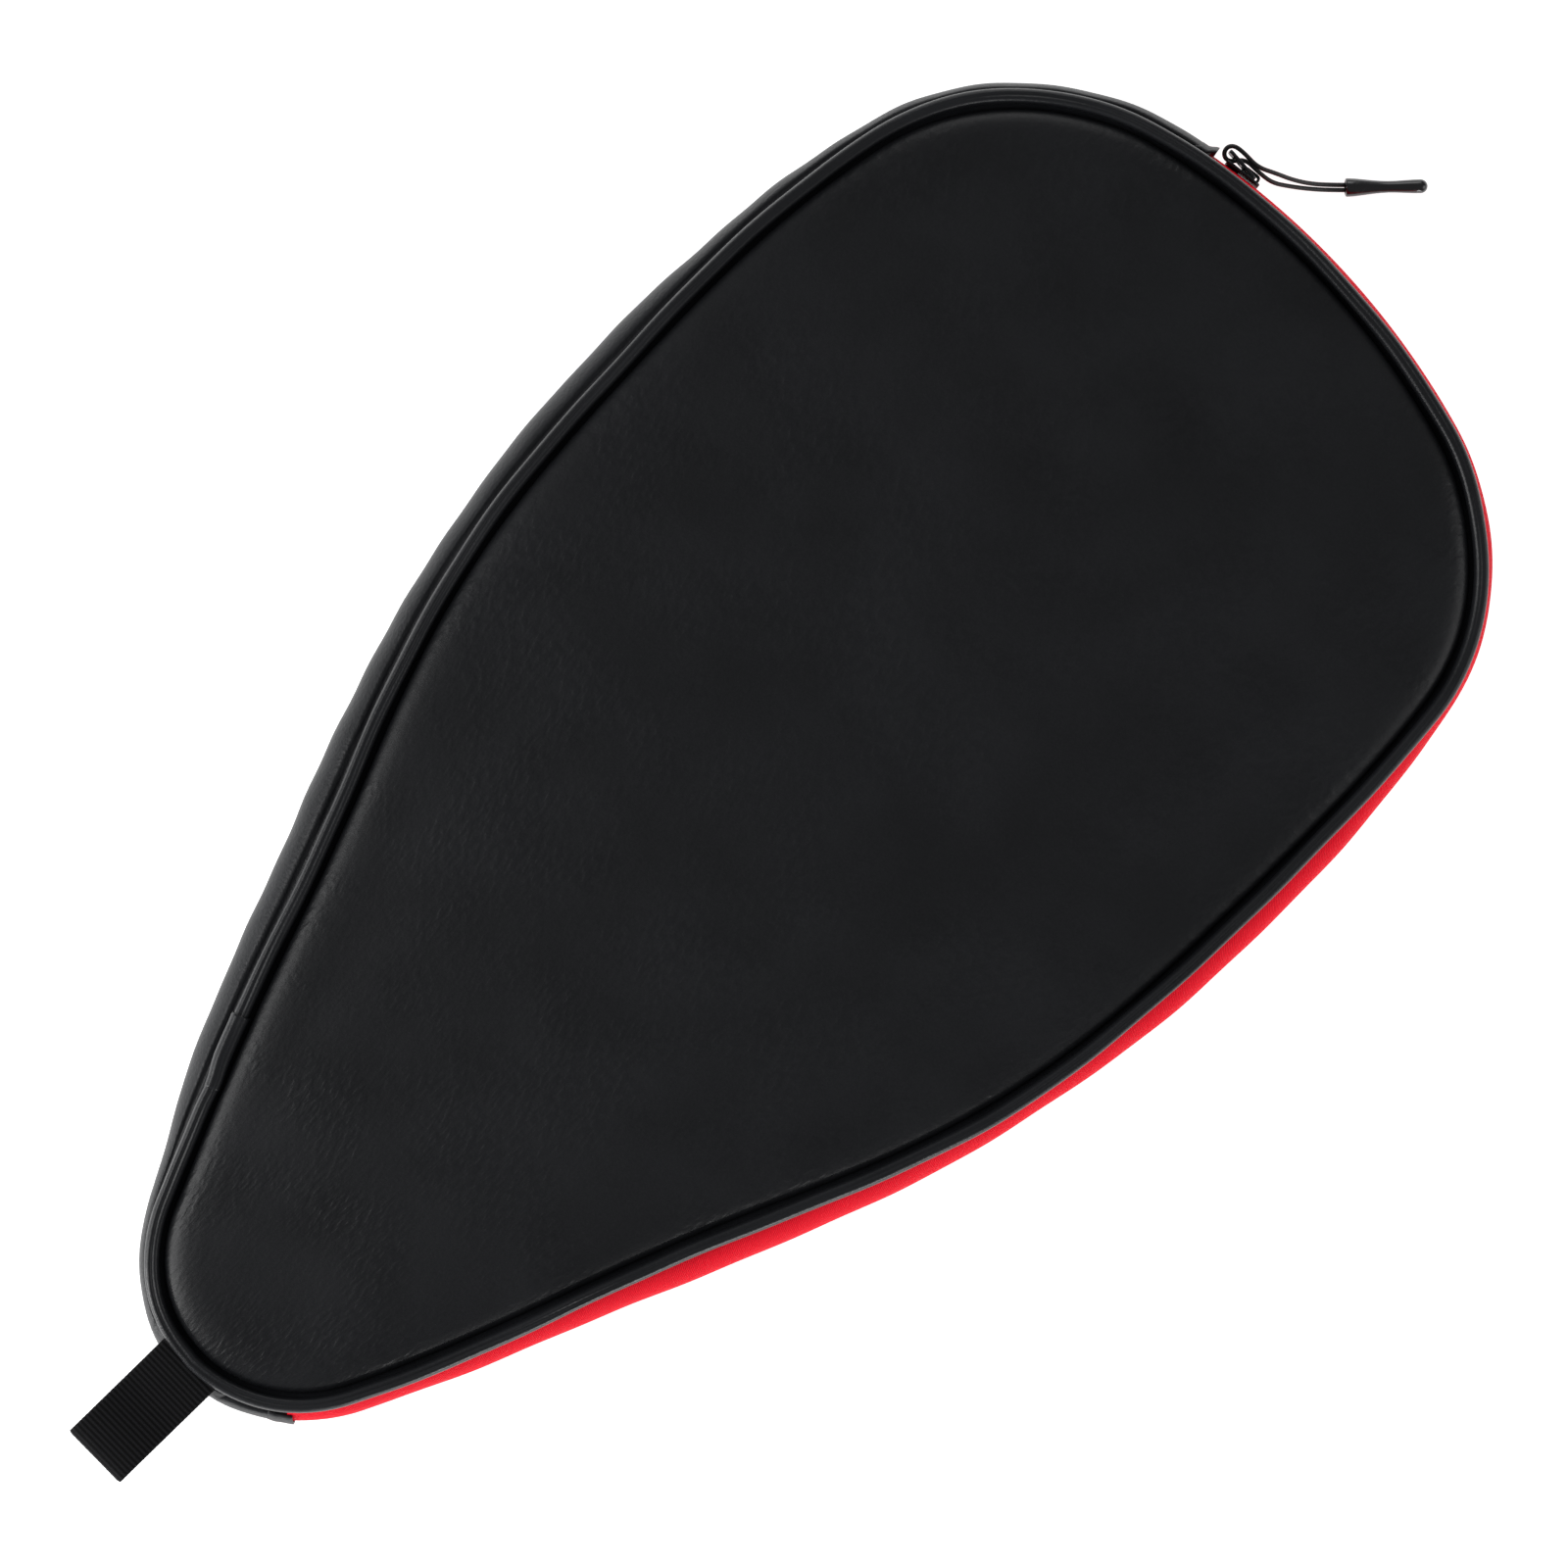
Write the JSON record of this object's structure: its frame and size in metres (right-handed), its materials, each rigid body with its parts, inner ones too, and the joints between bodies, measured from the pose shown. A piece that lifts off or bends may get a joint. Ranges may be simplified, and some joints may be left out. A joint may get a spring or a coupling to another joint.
{
  "type": "padded paddle case",
  "caption": "Pear-shaped padded case for a short racket: piped front and back panels, bowed side wall, side zip with cord pull, and a webbing hang loop at the tail.",
  "frame": {"origin": "on the flat of the back panel, under the middle of the case's length", "axes": "+Y from the tail and its hang loop to the head, +X towards the zip's long side, +Z out of the front panel"},
  "size_m": [0.2898, 0.6153, 0.038],
  "materials": {
    "black_leather": "fine-grained satin artificial leather",
    "piping_leather": "semi-gloss artificial leather",
    "foam": "matt closed-cell foam",
    "lining": "matt woven lining",
    "piping_core": "matt extruded cord",
    "binding": "matt woven tape",
    "red_tape": "woven polyester tape",
    "red_coil": "semi-gloss nylon coil",
    "stop_metal": "bright",
    "slider_metal": "dark gunmetal plating",
    "tab_metal": "bright nickel",
    "cord": "braided, slightly glossy",
    "cord_end_plastic": "glossy",
    "webbing": "ribbed polypropylene webbing"
  },
  "bodies": {
    "shell": {"back_skin": "black_leather", "front_skin_hinge_side": "black_leather", "gusset_skin": "black_leather", "gusset_end_tab_head": "black_leather", "gusset_end_tab_tail": "black_leather", "back_foam": "foam", "front_foam_hinge_side": "foam", "gusset_foam": "foam", "back_lining": "lining", "front_lining_hinge_side": "lining", "gusset_lining": "lining", "back_piping_cover": "piping_leather", "front_piping_cover_hinge_side": "piping_leather", "back_piping_joint": "piping_leather", "front_piping_joint": "piping_leather", "back_piping_cord": "piping_core", "front_piping_cord_hinge_side": "piping_core", "back_seam_binding": "binding", "front_seam_binding_hinge_side": "binding", "zip_tape_back": "red_tape", "zip_tape_front_tail_end": "red_tape", "zip_tape_front_head_end": "red_tape", "zip_coil_back": "red_coil", "zip_coil_front_tail_end": "red_coil", "zip_coil_front_head_end": "red_coil", "zip_stop_tail": "stop_metal", "zip_stop_head": "stop_metal", "hang_loop_anchor": "webbing"},
    "flap": {"front_skin_flap": "black_leather", "front_foam_flap": "foam", "front_lining_flap": "lining", "front_piping_cover_flap": "piping_leather", "front_piping_cord_flap": "piping_core", "front_seam_binding_flap": "binding", "zip_tape_front": "red_tape", "zip_coil_front": "red_coil"},
    "slider": {"slider_body": "slider_metal", "slider_bridge": "slider_metal"},
    "tab": {"pull_tab": "tab_metal"},
    "pull": {"pull_cord": "cord", "cord_end": "cord_end_plastic", "cord_knot": "cord"},
    "loop": {"hang_loop": "webbing"}
  },
  "joints": [
    {"name": "front_fold", "type": "hinge", "parent": "shell", "child": "flap", "pos_m": [0.00632, 0.0102, 0.038], "axis": [0.1295, -0.9916, 0], "range_deg": [0, 120]},
    {"name": "slider_travel", "type": "hinge", "parent": "shell", "child": "slider", "pos_m": [0, -0.0067, 0.019], "axis": [0, 0, -1], "range_deg": [0, 21]},
    {"name": "tab_flip", "type": "hinge", "parent": "slider", "child": "tab", "pos_m": [-0.0352, 0.26528, 0.019], "axis": [0, 0, -1], "range_deg": [0, 24]},
    {"name": "cord_swing", "type": "hinge", "parent": "tab", "child": "pull", "pos_m": [-0.04603, 0.26591, 0.019], "axis": [0, 0, 1], "range_deg": [0, 130]},
    {"name": "loop_flex", "type": "hinge", "parent": "shell", "child": "loop", "pos_m": [0, -0.26454, 0.0306], "axis": [-1, 0, 0], "range_deg": [-35, 90], "stiffness_Nm_per_rad": 0.02}
  ]
}
